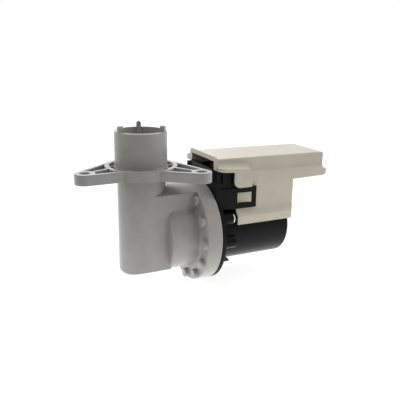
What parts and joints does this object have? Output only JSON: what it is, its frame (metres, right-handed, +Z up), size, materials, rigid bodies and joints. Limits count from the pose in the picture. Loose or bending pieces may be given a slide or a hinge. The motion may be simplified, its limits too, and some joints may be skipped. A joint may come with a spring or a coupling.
{
  "type": "washer drain pump",
  "caption": "Washer drain pump with grey moulded housing, open inlet pipe on an eared mounting plate, side outlet, and a black motor under a beige coil cover",
  "frame": {"origin": "middle of the inlet pipe, in the plane of the mounting plate's top face", "axes": "+X runs along the motor away from the inlet, +Y is the outlet side, +Z is up along the inlet pipe"},
  "size_m": [0.2103, 0.1084, 0.1289],
  "materials": {
    "grey_plastic": "satin moulded",
    "black_plastic": "satin moulded",
    "beige_plastic": "fine matt",
    "white_plastic": "satin moulded",
    "rubber": "matt",
    "steel": "bright",
    "bearing_carbon": "ground",
    "ferrite": "ground",
    "lamination": "stacked sheet",
    "enamelled_wire": "enamelled",
    "tinned_brass": "tinned"
  },
  "bodies": {
    "pump": {"pump_housing": "grey_plastic", "housing_seal": "rubber", "motor_plate": "black_plastic", "motor_can": "black_plastic", "motor_cover": "beige_plastic", "motor_screws": "steel", "shaft_seal": "rubber", "front_bearing_holder": "rubber", "front_bearing": "bearing_carbon", "rear_bearing": "bearing_carbon", "rear_bearing_holder": "rubber", "pole_core": "lamination", "core_yoke": "lamination", "coil_bobbin_front": "white_plastic", "coil_bobbin_back": "white_plastic", "winding_front": "enamelled_wire", "winding_back": "enamelled_wire", "terminal_header": "white_plastic", "terminal_blades": "tinned_brass", "thermal_cutout": "white_plastic"},
    "rotor": {"rotor_shaft": "steel", "rotor_sleeve": "white_plastic", "rotor_magnet": "ferrite", "drive_dog": "white_plastic", "dog_damper": "rubber"},
    "impeller": {"impeller": "white_plastic", "impeller_cap": "white_plastic"}
  },
  "joints": [
    {"name": "rotor_spin", "type": "hinge", "parent": "pump", "child": "rotor", "pos_m": [0.06, 0, -0.0574], "axis": [1, 0, 0], "continuous": true},
    {"name": "impeller_play", "type": "hinge", "parent": "rotor", "child": "impeller", "pos_m": [0.035, 0, -0.0574], "axis": [1, 0, 0], "range_deg": [-100, 100]}
  ]
}
